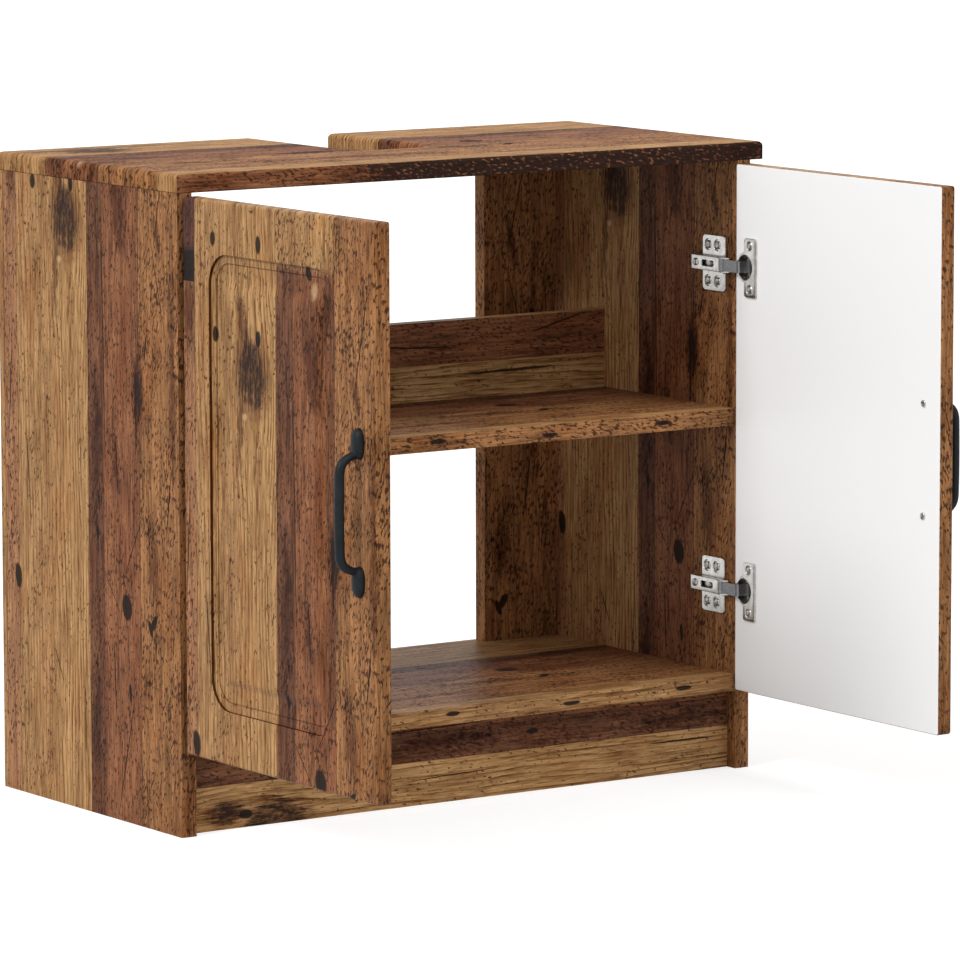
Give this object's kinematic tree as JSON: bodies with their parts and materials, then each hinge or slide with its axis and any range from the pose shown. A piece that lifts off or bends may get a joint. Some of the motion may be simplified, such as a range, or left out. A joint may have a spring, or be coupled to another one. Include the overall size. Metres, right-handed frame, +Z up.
{
  "type": "vanity unit",
  "caption": "Open-backed floor vanity unit with twin panelled doors on concealed hinges, shelf with rear rail, and a pipe cut-out in the top.",
  "frame": {"origin": "on the floor, at the middle of the plinth board's underside and of the top panel's width", "axes": "+X to the right seen from the front, +Y to the back (the wall), +Z up; the doors open towards -Y"},
  "size_m": [0.6807, 0.6343, 0.6],
  "materials": {
    "reclaimed_wood_decor": "satin melamine paper with a reclaimed plank print",
    "door_decor_and_white_back": "foil with the plank print outside and on the edges, white melamine inside",
    "beech_dowel": "bare beech",
    "zinc_plated_steel": "bright zinc plate",
    "nickel_plated_steel": "satin nickel plate on pressed steel",
    "black_cast_handle": "matt black lacquer"
  },
  "bodies": {
    "carcass": {"top_panel": "reclaimed_wood_decor", "left_side_panel": "reclaimed_wood_decor", "right_side_panel": "reclaimed_wood_decor", "bottom_panel": "reclaimed_wood_decor", "middle_shelf": "reclaimed_wood_decor", "shelf_back_rail": "reclaimed_wood_decor", "plinth_board": "reclaimed_wood_decor", "left_back_stile": "reclaimed_wood_decor", "right_back_stile": "reclaimed_wood_decor", "left_front_top_dowel": "beech_dowel", "left_rear_top_dowel": "beech_dowel", "left_bottom_cam_lock": "zinc_plated_steel", "left_bottom_cam_bolt": "zinc_plated_steel", "left_shelf_cam_lock": "zinc_plated_steel", "left_shelf_cam_bolt": "zinc_plated_steel", "left_lower_hinge_plate": "nickel_plated_steel", "left_lower_hinge_arm": "nickel_plated_steel", "left_lower_outer_link_pin": "zinc_plated_steel", "left_lower_inner_link_pin": "zinc_plated_steel", "left_upper_hinge_plate": "nickel_plated_steel", "left_upper_hinge_arm": "nickel_plated_steel", "left_upper_outer_link_pin": "zinc_plated_steel", "left_upper_inner_link_pin": "zinc_plated_steel", "right_front_top_dowel": "beech_dowel", "right_rear_top_dowel": "beech_dowel", "right_bottom_cam_lock": "zinc_plated_steel", "right_bottom_cam_bolt": "zinc_plated_steel", "right_shelf_cam_lock": "zinc_plated_steel", "right_shelf_cam_bolt": "zinc_plated_steel", "right_lower_hinge_plate": "nickel_plated_steel", "right_lower_hinge_arm": "nickel_plated_steel", "right_lower_outer_link_pin": "zinc_plated_steel", "right_lower_inner_link_pin": "zinc_plated_steel", "right_upper_hinge_plate": "nickel_plated_steel", "right_upper_hinge_arm": "nickel_plated_steel", "right_upper_outer_link_pin": "zinc_plated_steel", "right_upper_inner_link_pin": "zinc_plated_steel"},
    "left_door": {"left_door": "door_decor_and_white_back", "left_handle": "black_cast_handle", "left_lower_handle_screw": "zinc_plated_steel", "left_lower_hinge_cup": "nickel_plated_steel", "left_upper_handle_screw": "zinc_plated_steel", "left_upper_hinge_cup": "nickel_plated_steel"},
    "left_outer_links": {"left_lower_outer_link": "nickel_plated_steel", "left_upper_outer_link": "nickel_plated_steel"},
    "left_inner_links": {"left_lower_inner_link": "nickel_plated_steel", "left_upper_inner_link": "nickel_plated_steel"},
    "right_door": {"right_door": "door_decor_and_white_back", "right_handle": "black_cast_handle", "right_lower_handle_screw": "zinc_plated_steel", "right_lower_hinge_cup": "nickel_plated_steel", "right_upper_handle_screw": "zinc_plated_steel", "right_upper_hinge_cup": "nickel_plated_steel"},
    "right_outer_links": {"right_lower_outer_link": "nickel_plated_steel", "right_upper_outer_link": "nickel_plated_steel"},
    "right_inner_links": {"right_lower_inner_link": "nickel_plated_steel", "right_upper_inner_link": "nickel_plated_steel"}
  },
  "joints": [
    {"name": "left_door_swing", "type": "hinge", "parent": "carcass", "child": "left_door", "pos_m": [-0.3138, -0.03125, 0], "axis": [0, 0, 1], "range_deg": [-5, 90]},
    {"name": "left_outer_link_turn", "type": "hinge", "parent": "carcass", "child": "left_outer_links", "pos_m": [-0.30098, -0.00863, 0], "axis": [0, 0, 1], "range_deg": [-1, 8]},
    {"name": "left_inner_link_turn", "type": "hinge", "parent": "carcass", "child": "left_inner_links", "pos_m": [-0.30497, -0.01286, 0], "axis": [0, 0, 1], "range_deg": [-9, 1]},
    {"name": "right_door_swing", "type": "hinge", "parent": "carcass", "child": "right_door", "pos_m": [0.2993, -0.03125, 0], "axis": [0, 0, -1], "range_deg": [-5, 90]},
    {"name": "right_outer_link_turn", "type": "hinge", "parent": "carcass", "child": "right_outer_links", "pos_m": [0.28648, -0.00863, 0], "axis": [0, 0, -1], "range_deg": [-1, 8]},
    {"name": "right_inner_link_turn", "type": "hinge", "parent": "carcass", "child": "right_inner_links", "pos_m": [0.29047, -0.01286, 0], "axis": [0, 0, -1], "range_deg": [-9, 1]}
  ],
  "couplings": [
    {"joint": "left_outer_link_turn", "follows": "left_door_swing", "ratio": 0.079078},
    {"joint": "left_inner_link_turn", "follows": "left_door_swing", "ratio": -0.092686},
    {"joint": "right_outer_link_turn", "follows": "right_door_swing", "ratio": 0.079078},
    {"joint": "right_inner_link_turn", "follows": "right_door_swing", "ratio": -0.092686}
  ]
}
